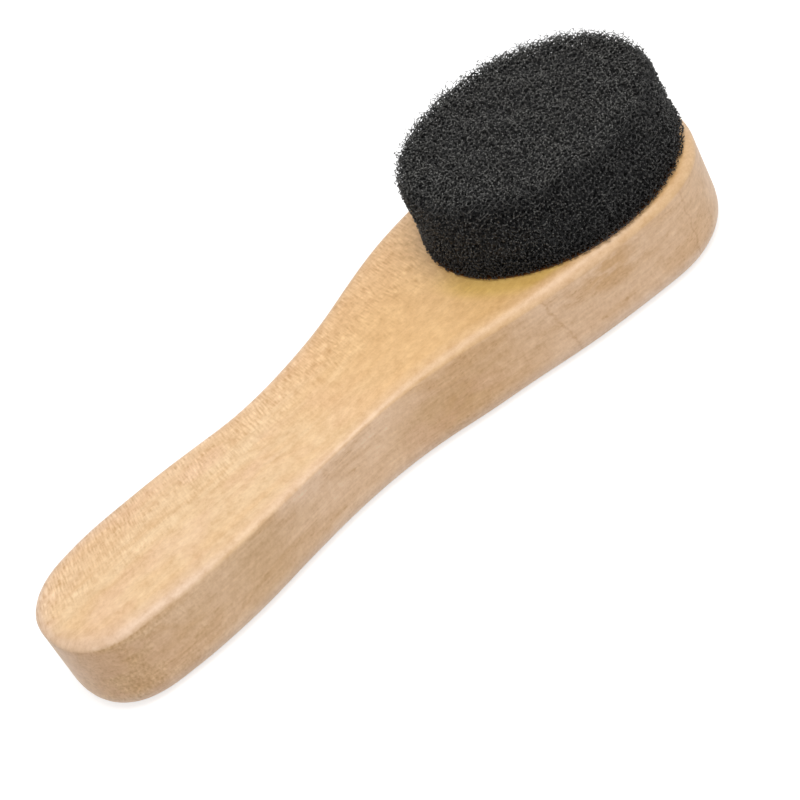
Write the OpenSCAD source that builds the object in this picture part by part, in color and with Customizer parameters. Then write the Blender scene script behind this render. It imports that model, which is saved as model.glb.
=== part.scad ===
// Shoe polish dauber: a flat wooden paddle with an oval foam pad glued on its head.
// The handle lies flat on its underside, with the pad on top. The head points to +X.

/* [Handle outline] */
// Length of the handle, from the front of the head to the end of the grip
handle_l = 150; // [125:1:190]
// Width of the head at its shoulders
head_w = 52.8; // [44:0.2:64]
// How much longer than half its width the radius of the head's front is
nose_flatness = 3.3; // [0.5:0.1:12]
// Radius of the head's two shoulders
shoulder_r = 19.8; // [10:0.1:21]
// Radius of the two flanks, which swell slightly from the shoulders to the neck
flank_r = 235; // [120:1:600]
// Width of the neck, where the handle is narrowest
neck_w = 26.6; // [18:0.2:28.6]
// Distance from the front of the head to the neck
neck_at = 93; // [78:0.5:104]
// Radius of the hollow on each side of the neck
neck_r = 76; // [30:1:110]
// Radius of the grip's two long sides, which swell slightly
grip_side_r = 168; // [100:1:500]
// Width of the grip near its end
grip_w = 29; // [28:0.2:36]
// Radius of the grip's two corners
grip_corner_r = 13; // [6:0.1:13.5]
// How much longer than half its width the radius of the grip's end is
grip_end_flatness = 7.3; // [1:0.1:20]

/* [Handle section] */
// Thickness of the handle
handle_t = 16.9; // [10:0.1:24]
// Radius of the rounding round the upper edge
top_edge_r = 2; // [0.5:0.1:4]
// Radius of the rounding round the lower edge
bottom_edge_r = 3.6; // [0.5:0.1:5]

/* [Sponge] */
// Length of the pad's base along the handle
sponge_l = 52.2; // [40:0.2:60]
// Thickness of the pad
sponge_t = 15.5; // [8:0.1:24]
// Gap between the front of the head and the front of the pad's base
sponge_front_margin = 0.6; // [0.3:0.1:6]
// Gap between each side of the head and the pad's base
sponge_side_margin = 2.7; // [2:0.1:8]
// How far the pad's side leans in from its base to its top
sponge_lean = 0.4; // [0:0.1:2]
// How far the pad's foot spreads where it is pressed into the glue
sponge_foot_spread = 0.2; // [0.1:0.1:1]
// Height over which that spread fades out
sponge_foot_h = 1.6; // [0.5:0.1:3]
// Radius of the rounding round the pad's upper edge
sponge_rim_r = 1.2; // [0.3:0.1:4]

/* [Glue] */
// Thickness of the glue film
glue_t = 0.3; // [0.1:0.05:1]
// How far the film stays inside the pad's foot
glue_margin = 0.2; // [0.1:0.1:3]

/* [Hidden] */

// Longest step between two points of the handle's outline, and the steps of each rounding.
outline_step = 2.6;
edge_steps = 5;
// Points round the oval of the pad and its glue.
oval_points = 96;

// Radii that follow from the widths. A rounding is held inside the width that it rounds.
head_half_w = head_w / 2;
grip_half_w = grip_w / 2;
least_arc = 0.5;
nose_r = head_half_w + nose_flatness;
grip_end_r = grip_half_w + grip_end_flatness;
shoulder_fit_r = min(shoulder_r, head_half_w - least_arc);
corner_fit_r = min(grip_corner_r, grip_half_w - least_arc);

// Seats, from the bottom up.
glue_z = handle_t;
sponge_z = glue_z + glue_t;
head_front_x = handle_l / 2;
sponge_x = head_front_x - sponge_front_margin - sponge_l / 2;
sponge_half_l = sponge_l / 2;
sponge_half_w = head_half_w - sponge_side_margin;

// The upper half of the outline is a chain of seven circles, each tangent to the next.
// A circle is [centre x, centre y, radius]. The radius is negative where the outline is hollow.

// Circle inside a larger one that is centred on the handle's axis, at a given half width.
function tucked_circle(outer, r, half_w, side) =
    let (y = half_w - r,
         reach = outer[2] - r)
    [outer[0] + side * sqrt(reach * reach - y * y), y, r];

// Circle of radius r that is tangent to circles a and b, on the side of the handle's axis.
function bridging_circle(a, b, r) =
    let (from_a = r - a[2],
         from_b = r - b[2],
         run = [b[0] - a[0], b[1] - a[1]],
         dist = norm(run),
         along = (from_a * from_a - from_b * from_b + dist * dist) / (2 * dist),
         aside = sqrt(from_a * from_a - along * along),
         ux = run[0] / dist,
         uy = run[1] / dist)
    [a[0] + ux * along - uy * aside, a[1] + uy * along + ux * aside, r];

// Direction from the centres to the point where two tangent circles meet.
function meeting_angle(a, b) =
    let (s = sign(a[2] - b[2]))
    atan2(s * (b[1] - a[1]), s * (b[0] - a[0]));

// Largest hollow at the neck that stays clear of a neighbouring round.
function hollow_limit(round_circle) =
    let (dx = round_circle[0] - neck_x,
         lift = neck_w / 2 - round_circle[1],
         r = round_circle[2])
    r > lift ? (dx * dx + lift * lift - r * r) / (2 * (r - lift)) : neck_r;

nose = [head_front_x - nose_r, 0, nose_r];
grip_end = [-handle_l / 2 + grip_end_r, 0, grip_end_r];
shoulder = tucked_circle(nose, shoulder_fit_r, head_half_w, 1);
corner = tucked_circle(grip_end, corner_fit_r, grip_half_w, -1);
neck_x = head_front_x - neck_at;
clearance_share = 0.9;
neck_fit_r = min(neck_r, clearance_share * hollow_limit(shoulder), clearance_share * hollow_limit(corner));
neck = [neck_x, neck_w / 2 + neck_fit_r, -neck_fit_r];
flank = bridging_circle(shoulder, neck, flank_r);
grip_side = bridging_circle(neck, corner, grip_side_r);
chain = [nose, shoulder, flank, neck, grip_side, corner, grip_end];

meetings = [for (i = [0 : len(chain) - 2]) meeting_angle(chain[i], chain[i + 1])];
starts = [0, each meetings];
ends = [each meetings, 180];

// Points along arc i, drawn in by a distance. The arc's own first point is left to the arc before it.
function arc_points(i, inset) =
    let (c = chain[i],
         turn = ends[i] - starts[i],
         n = max(2, ceil(abs(c[2] * turn) * PI / 180 / outline_step)))
    [for (k = [(i == 0 ? 0 : 1) : n])
        let (t = starts[i] + turn * k / n)
        [c[0] + (c[2] - inset) * cos(t), c[1] + (c[2] - inset) * sin(t)]];

// The whole outline: the upper half, then its mirror image run backwards.
function handle_outline(inset) =
    let (upper = [for (i = [0 : len(chain) - 1]) each arc_points(i, inset)])
    [each upper, for (k = [len(upper) - 2 : -1 : 1]) [upper[k][0], -upper[k][1]]];

// Oval with the pad's shape, drawn in or out by a distance.
function oval(inset) =
    [for (k = [0 : oval_points - 1])
        let (t = 360 * k / oval_points)
        [(sponge_half_l - inset) * cos(t), (sponge_half_w - inset) * sin(t)]];

// Rings as [inset, z] for a rounding at the foot of a wall, and for one at its top.
function foot_rings(r, z) =
    [for (k = [0 : edge_steps])
        let (t = 90 * k / edge_steps)
        [r - r * sin(t), z + r - r * cos(t)]];
function crest_rings(r, z) =
    [for (k = [0 : edge_steps])
        let (t = 90 * k / edge_steps)
        [r - r * cos(t), z - r + r * sin(t)]];

// Closed shell through a stack of rings that all have the same number of points.
module ring_stack(rings) {
    n = len(rings[0]);
    last = len(rings) - 1;
    points = [for (ring = rings) each ring];
    walls = [for (j = [0 : last - 1], i = [0 : n - 1])
        let (a = j * n + i, b = j * n + (i + 1) % n)
        each [[a, a + n, b + n], [a, b + n, b]]];
    floor_face = [for (i = [0 : n - 1]) i];
    roof_face = [for (i = [n - 1 : -1 : 0]) last * n + i];
    polyhedron(points = points, faces = [floor_face, roof_face, each walls]);
}

function lifted(outline, z) = [for (p = outline) [p[0], p[1], z]];

// Solid wood, with a flat underside and a flat top between the two rounded edges.
module handle() {
    section = [each foot_rings(bottom_edge_r, 0), each crest_rings(top_edge_r, handle_t)];
    color("burlywood")
        ring_stack([for (s = section) lifted(handle_outline(s[0]), s[1])]);
}

// Thin film between the wood and the pad.
module adhesive_layer() {
    color("goldenrod")
        translate([sponge_x, 0, glue_z])
            linear_extrude(glue_t) polygon(oval(glue_margin));
}

// Foam pad: a spread foot, a slightly leaning side and a soft upper edge.
module sponge() {
    foot = [for (k = [0 : edge_steps])
        let (s = k / edge_steps)
        [-sponge_foot_spread * (1 - s) * (1 - s), sponge_foot_h * s]];
    section = [each foot, each [for (r = crest_rings(sponge_rim_r, sponge_t)) [sponge_lean + r[0], r[1]]]];
    color("dimgray")
        translate([sponge_x, 0, sponge_z])
            ring_stack([for (s = section) lifted(oval(s[0]), s[1])]);
}

handle();
adhesive_layer();
sponge();
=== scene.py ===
# %% [markdown]
# # A shoe polish dauber
#
# The object is a flat beech paddle with a thick oval pad of black open-cell foam glued on its head.
# The CAD part fixes every size. This file dresses it: it rebuilds the visible surfaces as meshes
# worked out with numpy, gives each one a procedural material, and sets up a plain studio.
# All shapes are worked out in millimetres and written to the meshes in metres.

from types import SimpleNamespace

import bmesh
import bpy
import numpy as np

from mathutils import Matrix, Vector


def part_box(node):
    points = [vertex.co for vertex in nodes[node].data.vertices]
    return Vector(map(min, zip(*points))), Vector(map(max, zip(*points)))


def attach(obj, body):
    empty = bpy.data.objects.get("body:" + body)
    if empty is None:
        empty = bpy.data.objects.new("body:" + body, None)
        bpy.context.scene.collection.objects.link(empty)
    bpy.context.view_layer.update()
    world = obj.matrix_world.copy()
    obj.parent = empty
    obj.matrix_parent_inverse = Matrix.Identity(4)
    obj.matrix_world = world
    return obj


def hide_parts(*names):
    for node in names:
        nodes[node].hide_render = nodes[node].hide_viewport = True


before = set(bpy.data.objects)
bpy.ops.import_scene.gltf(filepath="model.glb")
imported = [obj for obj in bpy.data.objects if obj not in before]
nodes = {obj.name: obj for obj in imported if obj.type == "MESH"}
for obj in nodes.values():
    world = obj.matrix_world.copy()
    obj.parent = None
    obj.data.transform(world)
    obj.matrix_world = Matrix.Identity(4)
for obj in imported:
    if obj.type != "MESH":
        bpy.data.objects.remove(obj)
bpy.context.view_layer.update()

MM = 0.001
SEED = 41
# Added to a divisor, so that it is never zero.
TINY = 1e-9
TINIEST = 1e-12
handle_low, handle_high = (np.array(corner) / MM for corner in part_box("handle"))
sponge_low, sponge_high = (np.array(corner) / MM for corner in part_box("sponge"))
print("handle box, mm:", handle_low.round(2), handle_high.round(2))
print("sponge box, mm:", sponge_low.round(2), sponge_high.round(2))

# %% [markdown]
# ## Helpers for meshes
#
# Blender can fill a mesh straight from numpy arrays with foreach_set, which takes a flat list.
# That is far quicker than adding faces one by one, and it keeps every shape a plain array formula.


# %% Mesh helpers
def mesh_object(name, points, faces, smooth=True):
    """A new object from points in mm, shape (n, 3), and faces as rows of 3 or 4 point numbers."""
    faces = np.asarray(faces, np.int32)
    mesh = bpy.data.meshes.new(name)
    mesh.vertices.add(len(points))
    mesh.vertices.foreach_set("co", (np.asarray(points) * MM).astype(np.float32).ravel())
    mesh.loops.add(faces.size)
    mesh.loops.foreach_set("vertex_index", faces.ravel())
    mesh.polygons.add(len(faces))
    mesh.polygons.foreach_set("loop_start", np.arange(len(faces), dtype=np.int32) * faces.shape[1])
    mesh.update(calc_edges=True)
    if smooth:
        mesh.shade_smooth()
    obj = bpy.data.objects.new(name, mesh)
    bpy.context.scene.collection.objects.link(obj)
    return obj


def grid_faces(rows, columns):
    """Quads between neighbouring rows of a grid whose columns close into a ring."""
    row, column = np.meshgrid(np.arange(rows - 1), np.arange(columns), indexing="ij")
    here = row * columns + column
    beside = row * columns + (column + 1) % columns
    return np.stack([here, beside, beside + columns, here + columns], axis=-1).reshape(-1, 4)


def add_attribute(obj, name, values):
    """Stores one number per point, for a material to read by name."""
    attribute = obj.data.attributes.new(name, "FLOAT", "POINT")
    attribute.data.foreach_set("value", np.asarray(values, np.float32).ravel())


def close_seams(obj, distance=0.0004):
    """Joins points closer than a distance in mm, and turns every face outwards."""
    work = bmesh.new()
    work.from_mesh(obj.data)
    bmesh.ops.remove_doubles(work, verts=work.verts, dist=distance * MM)
    bmesh.ops.dissolve_degenerate(work, edges=work.edges, dist=distance * MM)
    bmesh.ops.recalc_face_normals(work, faces=work.faces)
    work.to_mesh(obj.data)
    work.free()


def smoothstep(low, high, x):
    """0 below low, 1 above high, and an S-shaped rise between them."""
    t = np.clip((x - low) / (high - low), 0, 1)
    return t * t * (3 - 2 * t)


def bumps(x, shapes):
    """The sum of bell curves along the handle, each given as its place, height and length in mm."""
    return sum(height * np.exp(-((x - middle) / length) ** 2) for middle, height, length in shapes)


# %% [markdown]
# ## The handle's outline
#
# The real handle is sawn from a plank and its edges are run over a rounding cutter, then sanded.
# The CAD handle has the exact outline, in short straight steps. Smoothing the CAD mesh would move
# its corners, so the outline is read from it instead: the points round the foot of its upright
# wall. A closed curve through them, stepped evenly, then carries the handle's section.

# %% Outline of the handle
# Heights this close in mm count as one height, and points this close to the axis lie on it.
SAME_HEIGHT = 0.01
ON_AXIS = 0.001
STEPS_BETWEEN_POINTS = 12
OUTLINE_POINTS = 640


def wall_outline(node):
    """Outline points at the foot of a CAD node's wall in order round it, and the wall's two heights.
    The wall is the largest step between the heights at which the node has points."""
    points = np.empty(len(node.data.vertices) * 3)
    node.data.vertices.foreach_get("co", points)
    points = points.reshape(-1, 3) / MM
    heights = np.unique(points[:, 2].round(3))
    foot = int(np.argmax(np.diff(heights)))
    ring = points[np.abs(points[:, 2] - heights[foot]) < SAME_HEIGHT][:, :2]
    ring = np.unique(ring.round(3), axis=0)
    upper = ring[ring[:, 1] >= -ON_AXIS]
    upper = upper[np.argsort(-upper[:, 0])]
    lower = upper[1:-1][::-1] * [1, -1]
    return np.vstack([upper, lower]), heights[foot], heights[foot + 1]


def even_curve(ring, count):
    """A closed curve through ring's points, as count points spaced evenly along it.
    Between two points it is the cubic that leaves each one parallel to its neighbours' chord."""
    before, after, beyond = np.roll(ring, 1, 0), np.roll(ring, -1, 0), np.roll(ring, -2, 0)
    t = (np.arange(STEPS_BETWEEN_POINTS) / STEPS_BETWEEN_POINTS)[None, :, None]
    p0, p1, p2, p3 = (p[:, None, :] for p in (before, ring, after, beyond))
    dense = 0.5 * (2 * p1 + (p2 - p0) * t + (2 * p0 - 5 * p1 + 4 * p2 - p3) * t**2
                   + (3 * p1 - p0 - 3 * p2 + p3) * t**3)
    dense = dense.reshape(-1, 2)
    closed = np.vstack([dense, dense[:1]])
    length = np.concatenate([[0], np.cumsum(np.linalg.norm(np.diff(closed, axis=0), axis=1))])
    at = np.linspace(0, length[-1], count, endpoint=False)
    return np.stack([np.interp(at, length, closed[:, k]) for k in (0, 1)], axis=1), length[-1]


def inward_normals(ring):
    """Unit normals of a closed curve that runs anticlockwise, pointing to its inside."""
    along = np.roll(ring, -1, 0) - np.roll(ring, 1, 0)
    along /= np.linalg.norm(along, axis=1, keepdims=True)
    return np.stack([-along[:, 1], along[:, 0]], axis=1)


cad_ring, wall_foot, wall_head = wall_outline(nodes["handle"])
outline, outline_length = even_curve(cad_ring, OUTLINE_POINTS)
inward = inward_normals(outline)
handle_top = handle_high[2]
lower_radius = wall_foot - handle_low[2]
upper_radius = handle_top - wall_head
print(f"outline {outline_length:.1f} mm long, edges rounded {upper_radius:.2f} and {lower_radius:.2f} mm")

# %% [markdown]
# ## The handle's skin
#
# A section runs round the outline: flat underside, lower rounding, wall, upper rounding and flat
# top. The flats run in to a short spine, so the whole skin is one grid, and its seams are merged
# at the end. A bevel on a solid could make the roundings too, but not one that changes its width
# and its angle along the handle, as a hand-held cutter's does.

# %% Skin of the handle
SPINE_FROM_GRIP_END = 14.0
SPINE_FROM_HEAD = 26.0
ARC_STEPS = 9
WALL_STEPS = 12
FLAT_STEPS = 16
# The cutter of the upper edge leaves the top smoothly, but meets the wall at an angle, in a soft
# arris. It turns through this angle at the grip, and through more at the head. The turn grows
# between these two shares of the handle's length.
TURN_AT_GRIP = np.radians(48)
TURN_AT_HEAD = np.radians(72)
TURN_GROWS = (0.45, 0.80)
ARRIS = 0.30
# The nearer side's rounding is wider than the CAD one by this share, and narrower in the neck and
# towards the nose. Each change is given as its place along the handle, share and length.
NEAR_EXTRA = 0.25
NEAR_WIDTHS = ((-17.0, -0.78, 14.0), (58.0, -0.35, 12.0))
# Distance from the axis, in mm, at which the nearer side has its own width in full.
NEAR_FROM_AXIS = 6.0
# The rounding's painted highlight, a paler and pinker tone that stands for the lamp's reflection, begins on
# the flat, at this share of the way out from the spine. It has this strength where the flat ends, and is
# full at this share of the way down the arc.
EDGE_BEGINS_ON_FLAT = 0.87
EDGE_AT_TOP = 0.45
EDGE_FULL_ON_ARC = 0.6
# The arris belongs to the rounding and to the wall by these shares.
ARRIS_EDGE = 0.6
ARRIS_WALL = 0.4
# The lower rounding takes on the wall's tone between these two angles, in radians.
WALL_TONE_BEGINS, WALL_TONE_FULL = 0.3, 1.0


def handle_skin():
    """Points of the whole skin as rows of rings, and two numbers for each point, which are 1 on
    the upper rounding and on the wall. Parameter u runs round the outline and v from the
    underside's spine to the top's spine. Flats are straight lines from the outline to the spine.
    The lower rounding is a quarter circle. The upper one is an arc of radius w / sin(turn), where
    w is its width, so it ends on the wall. The arris is the mean of its two ends and, twice, of
    the sharp corner between them."""
    length = handle_high[0] - handle_low[0]
    along = (outline[:, 0] - handle_low[0]) / length
    turn = TURN_AT_GRIP + (TURN_AT_HEAD - TURN_AT_GRIP) * smoothstep(*TURN_GROWS, along)
    near = smoothstep(0, NEAR_FROM_AXIS, -outline[:, 1])
    upper_width = upper_radius * (1 + near * (NEAR_EXTRA + bumps(outline[:, 0], NEAR_WIDTHS)))
    arc_radius = upper_width / np.sin(turn)
    wall_top = handle_top - arc_radius * (1 - np.cos(turn))
    spine_x = handle_low[0] + SPINE_FROM_GRIP_END + along * (length - SPINE_FROM_GRIP_END - SPINE_FROM_HEAD)
    spine = np.stack([spine_x, np.zeros(len(outline))], axis=1)
    rows, edges, walls = [], [], []

    def add(inset, height, edge=0.0, wall=0.0, reach=1.0):
        ring = outline + inward * np.broadcast_to(inset, len(outline))[:, None]
        ring = spine + (ring - spine) * reach
        rows.append(np.column_stack([ring, np.broadcast_to(height, len(ring))]))
        edges.append(np.full(len(ring), edge))
        walls.append(np.full(len(ring), wall))

    def on_arc(angle):
        return upper_width - arc_radius * np.sin(angle), handle_top - arc_radius * (1 - np.cos(angle))

    for s in np.linspace(0, 1, FLAT_STEPS)[:-1]:
        add(lower_radius, handle_low[2], reach=s)
    for angle in np.linspace(0, np.pi / 2, ARC_STEPS):
        height = handle_low[2] + lower_radius * (1 - np.cos(angle))
        wall = float(smoothstep(WALL_TONE_BEGINS, WALL_TONE_FULL, angle))
        add(lower_radius * (1 - np.sin(angle)), height, wall=wall)
    wall_end = wall_top - ARRIS
    for s in np.linspace(0, 1, WALL_STEPS)[1:]:
        add(0, wall_foot + (wall_end - wall_foot) * s, wall=1.0)
    arc_end = turn - ARRIS / arc_radius
    end_inset, end_height = on_arc(arc_end)
    add(end_inset / 4, (wall_end + 2 * wall_top + end_height) / 4, edge=ARRIS_EDGE, wall=ARRIS_WALL)
    for s in np.linspace(1, 0, ARC_STEPS):
        edge = EDGE_AT_TOP + (1 - EDGE_AT_TOP) * float(smoothstep(0, EDGE_FULL_ON_ARC, s))
        add(*on_arc(arc_end * s), edge=edge)
    for s in np.linspace(1, 0, FLAT_STEPS)[1:]:
        edge = EDGE_AT_TOP * float(smoothstep(EDGE_BEGINS_ON_FLAT, 1, s))
        add(upper_width, handle_top, edge=edge, reach=s)
    return np.array(rows), np.array(edges), np.array(walls)


skin_rows, edge_share, wall_share = handle_skin()
print("skin of the handle:", skin_rows.shape[0], "rings of", skin_rows.shape[1], "points")

# %% [markdown]
# ## Finished by hand
#
# A handle that was held against a belt sander is never quite the same on both sides. Bell curves
# along the handle move the top and the walls by about a millimetre, and shallow waves let the
# light run along the walls unevenly. Sculpting by hand would do this as well, but a formula can be
# read, and gives the same shape each time.

# %% Uneven sides
# How the top dips along the nearer side of the neck, as place, depth and length in mm.
NECK_DIP = (-18.0, 1.6, 14.0)
# Where the nearer wall leans in at its top, as place along the handle, depth and length in mm.
WALL_LEANS = ((-63.0, 1.0, 9.0), (11.0, 0.7, 9.0), (35.0, 1.0, 26.0), (58.0, 0.7, 9.0))
# The same wall is drawn in at its foot, and the farther one moves out and in over its whole height.
FOOT_LEANS = ((-65.0, 0.5, 6.0), (-33.0, 0.45, 8.0), (19.0, 0.55, 9.0))
FAR_SWELLS = ((-57.0, 0.6, 8.0), (-25.0, -1.15, 15.0), (21.0, 1.35, 14.0))
# The half width in mm that is used where the handle's own is smaller, as at its two ends.
LEAST_HALF = 5.0


def settled(rows):
    """The hand-finished shape, a little off the cutter's symmetry: the top dips along one side of
    the neck, that side's wall leans in here and there, and the other wall swells and draws in.
    Each move is a sum of bell curves along x, times the share of the height or of the width."""
    x, y, z = rows[..., 0], rows[..., 1], rows[..., 2]
    up = (z - handle_low[2]) / (handle_top - handle_low[2])
    half = np.maximum(np.abs(outline[:, 1]), LEAST_HALF)
    to_near = np.clip(0.5 - 0.5 * y / half, 0, 1)
    near_share, far_share = np.clip(-y / half, 0, 1), np.clip(y / half, 0, 1)
    moved = rows.copy()
    moved[..., 1] += (bumps(x, WALL_LEANS) * up + bumps(x, FOOT_LEANS) * (1 - up)) * near_share
    moved[..., 1] += bumps(x, FAR_SWELLS) * far_share
    moved[..., 2] -= bumps(x, (NECK_DIP,)) * to_near * up
    return moved


# %% Sanding waves
# Depth in mm of the long shallow waves that hand sanding leaves in a wall.
SANDING_WAVES = 0.05
# Heights in mm over which the waves fade out above the underside and below the top.
FADE_AT_FOOT = 2.5
FADE_AT_TOP = 1.5


def sanded(rows):
    """Draws the walls in by shallow waves. Their depth is a product of two sines along x, the
    first of them bent by a sine of the height, plus a weaker sine that runs aslant."""
    x, y, z = rows[..., 0], rows[..., 1], rows[..., 2]
    wave = np.sin(x / 9.0 + 0.7 * np.sin(z / 5.0)) * np.sin(x / 23.0 + 1.3)
    wave = wave + 0.4 * np.sin(x / 5.3 + z / 7.0 + y / 11.0)
    depth = SANDING_WAVES * (0.5 + 0.3 * wave)
    upright = smoothstep(0, FADE_AT_FOOT, z - handle_low[2]) * smoothstep(0, FADE_AT_TOP, handle_top - z)
    moved = rows.copy()
    moved[..., :2] += inward[None] * (depth * upright)[..., None]
    return moved


# %% Mesh of the handle
# The least half width in mm when a point's place across the handle is measured in half widths.
LEAST_HALF_ACROSS = 8.0
skin_rows = settled(sanded(skin_rows))
skin_faces = grid_faces(len(skin_rows), OUTLINE_POINTS)
handle = mesh_object("wooden_handle", skin_rows.reshape(-1, 3), skin_faces)
far_outline = outline[:OUTLINE_POINTS // 2]
half_width = np.interp(-skin_rows[..., 0], -far_outline[:, 0], far_outline[:, 1])
add_attribute(handle, "edge", edge_share)
add_attribute(handle, "wall", wall_share)
add_attribute(handle, "end", wall_share * inward[:, 0] ** 2)
add_attribute(handle, "far", skin_rows[..., 1] / np.maximum(half_width, LEAST_HALF_ACROSS))
close_seams(handle)
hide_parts("handle")
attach(handle, "root")
print("handle:", len(handle.data.polygons), "faces")

# %% [markdown]
# ## The foam pad's shape
#
# Reticulated foam is what is left of a froth when its bubbles' skins are gone: only the struts
# between the bubbles remain. Equal bubbles pack nearly as truncated octahedra, a shape whose
# corners sit on a simple grid, so the whole network can be worked out as one array. Waves and a
# little chance then bend the grid, and the knife that cut the pad is the pad's own distance field.
# Only the outer cells show, so the inside is a closed core, painted dark for the shade deep in the foam. A
# bump map would be far lighter, but the pad's outline would be smooth, and the real one is a fringe of cut
# cells.

# %% Distance fields of the pad
pad_centre = (sponge_low + sponge_high)[:2] / 2
pad_foot, pad_top = sponge_low[2], sponge_high[2]
# The CAD pad's foot spreads by this much, which is taken off to get the pad's own half sizes.
CAD_FOOT_SPREAD = 0.2
pad_half = (sponge_high - sponge_low)[:2] / 2 - CAD_FOOT_SPREAD
# Pressed into the glue, the real foot spreads by this much in mm, and up to this height.
FOOT_SPREAD = 0.70
FOOT_HEIGHT = 5.0
# The die leans by this much along the handle from the pad's top to its foot.
FOOT_FORWARD = 0.40
SIDE_LEAN = 0.4
RIM_RADIUS = 0.6
# How far the closed core lies below the cut faces. It is rounder at the rim, where the photograph
# shows light through the outermost cells.
CORE_SIDE_IN = 1.35
CORE_TOP_IN = 1.25
CORE_RIM = 5.5


def pad_distance(points, side_in=0.0, top_in=0.0, rim=RIM_RADIUS):
    """Signed distance in mm to the pad, or to a smaller pad drawn in at its side and top.
    The side is an oval that leans in with height. For an oval, distance is about (r - 1) over the
    slope of r, where r is the radius in units of the oval's own."""
    up = np.clip((points[:, 2] - pad_foot) / (pad_top - pad_foot), 0, 1)
    near_foot = np.clip(1 - (points[:, 2] - pad_foot) / FOOT_HEIGHT, 0, 1)
    drawn_in = side_in + SIDE_LEAN * up - FOOT_SPREAD * near_foot**2
    half_x, half_y = pad_half[0] - drawn_in, pad_half[1] - drawn_in
    x, y = points[:, 0] - pad_centre[0] - FOOT_FORWARD * (1 - up), points[:, 1] - pad_centre[1]
    r = np.sqrt((x / half_x) ** 2 + (y / half_y) ** 2) + TINY
    slope = np.sqrt((x / half_x**2) ** 2 + (y / half_y**2) ** 2) / r + TINY
    side = (r - 1) / slope + rim
    roof = points[:, 2] - (pad_top - top_in) + rim
    outside = np.hypot(np.maximum(side, 0), np.maximum(roof, 0))
    return outside + np.minimum(np.maximum(side, roof), 0) - rim


def core_distance(points):
    return pad_distance(points, CORE_SIDE_IN, CORE_TOP_IN, CORE_RIM)


def depths(points):
    """How deep in mm a point lies below the pad's side and below its top, about."""
    half = pad_half - SIDE_LEAN
    radius = np.hypot((points[:, 0] - pad_centre[0]) / half[0], (points[:, 1] - pad_centre[1]) / half[1])
    return (1 - radius) * half.mean(), pad_top - points[:, 2]


def rim_distance(points):
    """Distance in mm from a point inside the pad to its upper edge, about."""
    return np.hypot(*depths(points))


print("pad, mm: half sizes", pad_half.round(2), "from", round(pad_foot, 2), "to", round(pad_top, 2), "high")

# %% Lattice of bubbles
# Side of the cube of lattice that holds two bubbles. A bubble is about seven eighths as wide.
CELL = 1.32
LATTICE_TURN = (0.31, 0.47, 0.83)
# Chance moves of a corner, and waves that bend the lattice, each an amplitude and a length.
JITTER = 0.09
WAVES = ((0.16, 2.3), (0.30, 4.1), (0.55, 9.0))
WAVES_PER_AXIS = 2
# The whole-number corners of the two bubbles in one cube, whose side is 4 units.
CUBE_UNITS = 4
MOTIF = np.array([(0, 1, 2), (0, -1, 2), (0, 2, 1), (0, 2, -1), (1, 0, 2), (-1, 0, 2),
                  (2, 0, 1), (2, 0, -1), (1, 2, 0), (-1, 2, 0), (2, 1, 0), (2, -1, 0)])
NEIGHBOURS = np.array([(1, 1, 0), (1, -1, 0), (1, 0, 1), (1, 0, -1), (0, 1, 1), (0, 1, -1)])
# Corners are kept out to this far outside the pad, and this far inside its core, in mm.
KEPT_OUTSIDE = 2.0
KEPT_IN_CORE = 2.2
# A whole-number corner becomes one key by counting in this base, larger than any of its numbers.
KEY_BASE = 4096


def turn_matrix(angles):
    """Rotation by three angles in radians, about x, then y, then z."""
    (cx, cy, cz), (sx, sy, sz) = np.cos(angles), np.sin(angles)
    about_x = np.array([[1, 0, 0], [0, cx, -sx], [0, sx, cx]])
    about_y = np.array([[cy, 0, sy], [0, 1, 0], [-sy, 0, cy]])
    about_z = np.array([[cz, -sz, 0], [sz, cz, 0], [0, 0, 1]])
    return about_z @ about_y @ about_x


def bent(points, rng):
    """Moves points by a few crossing waves of each length, in mm, and by a little chance."""
    moved = points.copy()
    for amplitude, length in WAVES:
        for axis in range(3):
            for _ in range(WAVES_PER_AXIS):
                direction = rng.normal(size=3)
                direction /= np.linalg.norm(direction)
                phase = rng.uniform(0, 2 * np.pi)
                wave = np.sin(points @ direction * 2 * np.pi / length + phase)
                moved[:, axis] += amplitude / WAVES_PER_AXIS * wave
    return moved + rng.normal(scale=JITTER, size=points.shape)


def foam_network():
    """Corners and struts of the foam's outer cells: points in mm, and pairs of point numbers.
    The corners of packed truncated octahedra are the whole-number points that, modulo 4, are an
    arrangement of 0, 1 or 3, and 2. Two of them are joined where they differ by (1, 1, 0) in
    some order and with some signs."""
    rng = np.random.default_rng(SEED)
    turn = turn_matrix(LATTICE_TURN)
    middle = np.array([*pad_centre, (pad_foot + pad_top) / 2])
    half = (sponge_high - sponge_low) / 2 + CELL
    reach = np.abs(turn.T) @ half
    cells = [np.arange(-int(r / CELL) - 1, int(r / CELL) + 2) for r in reach]
    cell = np.stack(np.meshgrid(*cells, indexing="ij"), axis=-1).reshape(-1, 1, 3)
    whole = (cell * CUBE_UNITS + MOTIF).reshape(-1, 3)
    points = whole * (CELL / CUBE_UNITS) @ turn.T + middle
    near = (pad_distance(points) < KEPT_OUTSIDE) & (core_distance(points) > -KEPT_IN_CORE)
    near &= points[:, 2] > pad_foot - KEPT_OUTSIDE
    whole, points = whole[near], bent(points[near], rng)
    span = np.array([1, KEY_BASE, KEY_BASE * KEY_BASE])
    key = (whole + KEY_BASE // 2) @ span
    order = np.argsort(key)
    sorted_key = key[order]
    pairs = []
    for step in NEIGHBOURS:
        wanted = key + step @ span
        at = np.clip(np.searchsorted(sorted_key, wanted), 0, len(key) - 1)
        found = sorted_key[at] == wanted
        pairs.append(np.stack([np.flatnonzero(found), order[at[found]]], axis=1))
    return points, np.vstack(pairs)


network_points, network_pairs = foam_network()
print("foam lattice:", len(network_points), "corners,", len(network_pairs), "struts")

# %% Cut by the knife
STRUT_RADIUS = 0.120
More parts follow.
